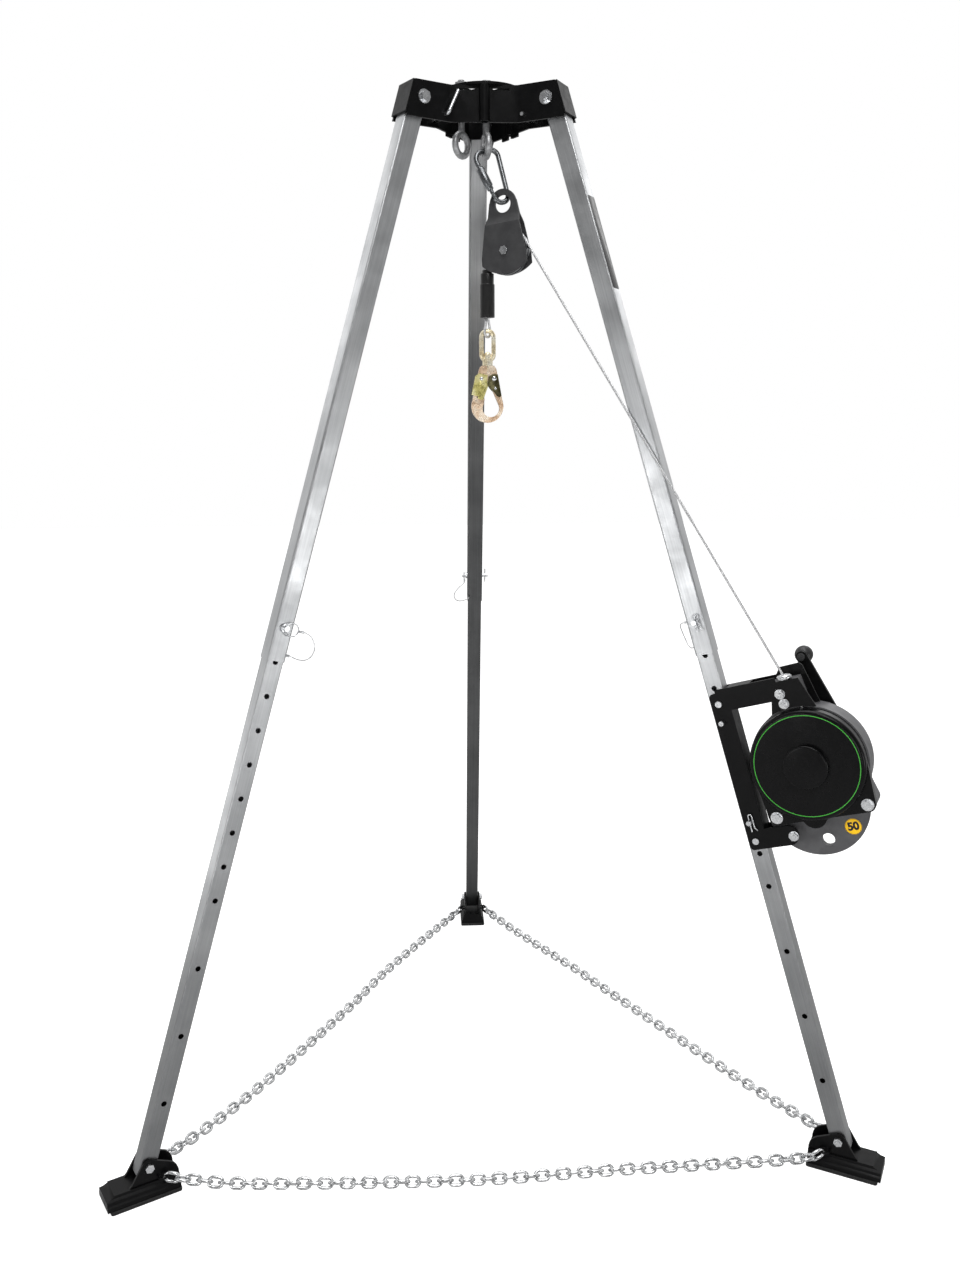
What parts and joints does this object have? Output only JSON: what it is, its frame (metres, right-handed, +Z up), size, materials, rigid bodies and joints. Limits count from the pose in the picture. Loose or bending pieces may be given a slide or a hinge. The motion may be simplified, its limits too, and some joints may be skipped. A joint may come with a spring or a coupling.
{
  "type": "rescue tripod with retrieval winch",
  "caption": "Free-standing rescue tripod with telescopic square legs, hinged feet, foot chains, a head pulley with snap hook, and a leg-mounted retrieval winch with crank.",
  "frame": {"origin": "on the floor, at the middle of the footprint's box", "axes": "+Z up; -Y towards the viewer of the picture, with the winch leg on the +X side"},
  "size_m": [1.5816, 1.3697, 2.1654],
  "materials": {
    "black_coat": "satin powder coat",
    "tube_alloy": "satin anodised",
    "bright_zinc": "bright zinc plate",
    "dark_steel": "dark satin",
    "wire_rope": "galvanised strand",
    "sole_rubber": "matt",
    "black_plastic": "matt",
    "yellow_zinc": "yellow zinc plate",
    "grey_coat": "satin coat"
  },
  "bodies": {
    "head": {"head_plate_front": "black_coat", "head_plate_left": "black_coat", "head_plate_right": "black_coat", "head_end_caps": "black_coat", "head_top_plate": "black_coat", "pivot_bolts": "bright_zinc", "head_pins": "bright_zinc", "eyebolts": "bright_zinc", "chain_front": "bright_zinc", "chain_left": "bright_zinc", "chain_right": "bright_zinc", "carabiner_body": "dark_steel", "pulley_cheeks": "dark_steel", "pulley_axle": "bright_zinc", "cable_run": "wire_rope", "cable_fall": "wire_rope"},
    "leg_right": {"leg_upper_right": "tube_alloy", "lock_pin_right": "bright_zinc", "lanyard_right": "wire_rope", "leg_lower_right": "tube_alloy", "foot_bolt_right": "bright_zinc", "winch_bracket": "black_coat", "winch_bolts": "bright_zinc", "winch_housing": "grey_coat", "winch_cover": "black_coat", "drum_shaft": "bright_zinc", "cable_guide": "bright_zinc", "power_spring": "dark_steel"},
    "foot_right": {"foot_bracket_right": "black_coat", "foot_sole_right": "sole_rubber"},
    "clip_right": {"pin_clip_right": "bright_zinc"},
    "drum": {"winch_drum": "tube_alloy"},
    "crank": {"crank_pinion": "bright_zinc", "crank_arm": "black_coat"},
    "knob": {"crank_knob": "black_plastic"},
    "sheave": {"pulley_sheave": "tube_alloy"},
    "line": {"cable_sleeve": "black_plastic", "cable_eye": "wire_rope", "hook_eye": "yellow_zinc"},
    "hook": {"hook_body": "yellow_zinc"},
    "hook_gate": {"hook_gate": "yellow_zinc"},
    "hook_lever": {"hook_lever": "black_coat"},
    "carabiner_gate": {"carabiner_gate": "dark_steel"},
    "carabiner_sleeve": {"carabiner_sleeve": "dark_steel"},
    "leg_left": {"leg_upper_left": "tube_alloy", "lock_pin_left": "bright_zinc", "lanyard_left": "wire_rope"},
    "shank_left": {"leg_lower_left": "tube_alloy", "foot_bolt_left": "bright_zinc"},
    "foot_left": {"foot_bracket_left": "black_coat", "foot_sole_left": "sole_rubber"},
    "clip_left": {"pin_clip_left": "bright_zinc"},
    "leg_rear": {"leg_upper_rear": "tube_alloy", "lock_pin_rear": "bright_zinc", "lanyard_rear": "wire_rope"},
    "shank_rear": {"leg_lower_rear": "tube_alloy", "foot_bolt_rear": "bright_zinc"},
    "foot_rear": {"foot_bracket_rear": "black_coat", "foot_sole_rear": "sole_rubber"},
    "clip_rear": {"pin_clip_rear": "bright_zinc"}
  },
  "joints": [
    {"name": "leg_rear_fold", "type": "hinge", "parent": "head", "child": "leg_rear", "pos_m": [0, -0.05609, 2.11555], "axis": [-1, 0, 0], "range_deg": [0, 17.6], "deforming": ["chain_left", "chain_right"]},
    {"name": "leg_rear_extend", "type": "slide", "parent": "leg_rear", "child": "shank_rear", "axis": [0, -0.3024, 0.9532], "range_m": [0, 0.828], "deforming": ["chain_left", "chain_right"]},
    {"name": "foot_rear_tilt", "type": "hinge", "parent": "shank_rear", "child": "foot_rear", "pos_m": [0, 0.59973, 0.068], "axis": [-1, 0, 0], "range_deg": [-25, 25], "deforming": ["chain_left", "chain_right"]},
    {"name": "clip_rear_pull", "type": "slide", "parent": "leg_rear", "child": "clip_rear", "axis": [0, -0.3024, 0.9532], "range_m": [0, 0.04]},
    {"name": "leg_left_fold", "type": "hinge", "parent": "head", "child": "leg_left", "pos_m": [-0.13188, -0.28451, 2.11555], "axis": [0.5, -0.866, 0], "range_deg": [0, 17.6], "deforming": ["chain_front", "chain_left"]},
    {"name": "leg_left_extend", "type": "slide", "parent": "leg_left", "child": "shank_left", "axis": [0.2619, 0.1512, 0.9532], "range_m": [0, 0.828], "deforming": ["chain_front", "chain_left"]},
    {"name": "foot_left_tilt", "type": "hinge", "parent": "shank_left", "child": "foot_left", "pos_m": [-0.69983, -0.61242, 0.068], "axis": [0.5, -0.866, 0], "range_deg": [-25, 25], "deforming": ["chain_front", "chain_left"]},
    {"name": "clip_left_pull", "type": "slide", "parent": "leg_left", "child": "clip_left", "axis": [0.2619, 0.1512, 0.9532], "range_m": [0, 0.04]},
    {"name": "leg_right_fold", "type": "hinge", "parent": "head", "child": "leg_right", "pos_m": [0.13188, -0.28451, 2.11555], "axis": [0.5, 0.866, 0], "range_deg": [0, 17.6], "deforming": ["chain_front", "chain_right", "cable_run"]},
    {"name": "foot_right_tilt", "type": "hinge", "parent": "leg_right", "child": "foot_right", "pos_m": [0.69983, -0.61242, 0.068], "axis": [0.5, 0.866, 0], "range_deg": [-25, 25], "deforming": ["chain_front", "chain_right"]},
    {"name": "clip_right_pull", "type": "slide", "parent": "leg_right", "child": "clip_right", "axis": [-0.2619, 0.1512, 0.9532], "range_m": [0, 0.04]},
    {"name": "drum_turn", "type": "hinge", "parent": "leg_right", "child": "drum", "pos_m": [0.61411, -0.56292, 0.84966], "axis": [-0.5, -0.866, 0], "range_deg": [0, 1598.6], "deforming": ["cable_fall"]},
    {"name": "crank_turn", "type": "hinge", "parent": "leg_right", "child": "crank", "pos_m": [0.65331, -0.58556, 0.90173], "axis": [-0.5, -0.866, 0], "range_deg": [-4060, 1]},
    {"name": "knob_spin", "type": "hinge", "parent": "crank", "child": "knob", "pos_m": [0.61677, -0.48363, 1.04344], "axis": [0.5, 0.866, 0], "continuous": true},
    {"name": "sheave_turn", "type": "hinge", "parent": "head", "child": "sheave", "pos_m": [0.0447, -0.27384, 1.83696], "axis": [-0.4695, -0.8829, 0], "range_deg": [0, 1564.6]},
    {"name": "hook_lower", "type": "slide", "parent": "head", "child": "line", "axis": [0, 0, -1], "range_m": [0, 1.204], "deforming": ["cable_fall"]},
    {"name": "hook_swivel", "type": "hinge", "parent": "line", "child": "hook", "pos_m": [0.00585, -0.25318, 1.60836], "axis": [0, 0, 1], "continuous": true},
    {"name": "hook_gate_open", "type": "hinge", "parent": "hook", "child": "hook_gate", "pos_m": [-0.00715, -0.25318, 1.58836], "axis": [0, -1, 0], "range_deg": [0, 22], "stiffness_Nm_per_rad": 0.05, "springref_deg": -20.05},
    {"name": "hook_lever_press", "type": "hinge", "parent": "hook", "child": "hook_lever", "pos_m": [0.01855, -0.25318, 1.58836], "axis": [0, 1, 0], "range_deg": [0, 10], "stiffness_Nm_per_rad": 0.05, "springref_deg": -20.05},
    {"name": "carabiner_gate_open", "type": "hinge", "parent": "head", "child": "carabiner_gate", "pos_m": [0.02033, -0.27098, 1.94003], "axis": [-0.1937, 0.9548, -0.2256], "range_deg": [0, 16], "stiffness_Nm_per_rad": 0.05, "springref_deg": -20.05},
    {"name": "carabiner_sleeve_slide", "type": "slide", "parent": "carabiner_gate", "child": "carabiner_sleeve", "axis": [0.4624, -0.114, -0.8793], "range_m": [0, 0.004]}
  ],
  "couplings": [
    {"joint": "crank_turn", "follows": "drum_turn", "ratio": -2.5385},
    {"joint": "sheave_turn", "follows": "drum_turn", "ratio": 0.9775},
    {"joint": "hook_lower", "follows": "drum_turn", "m_per_rad": 0.04301}
  ]
}
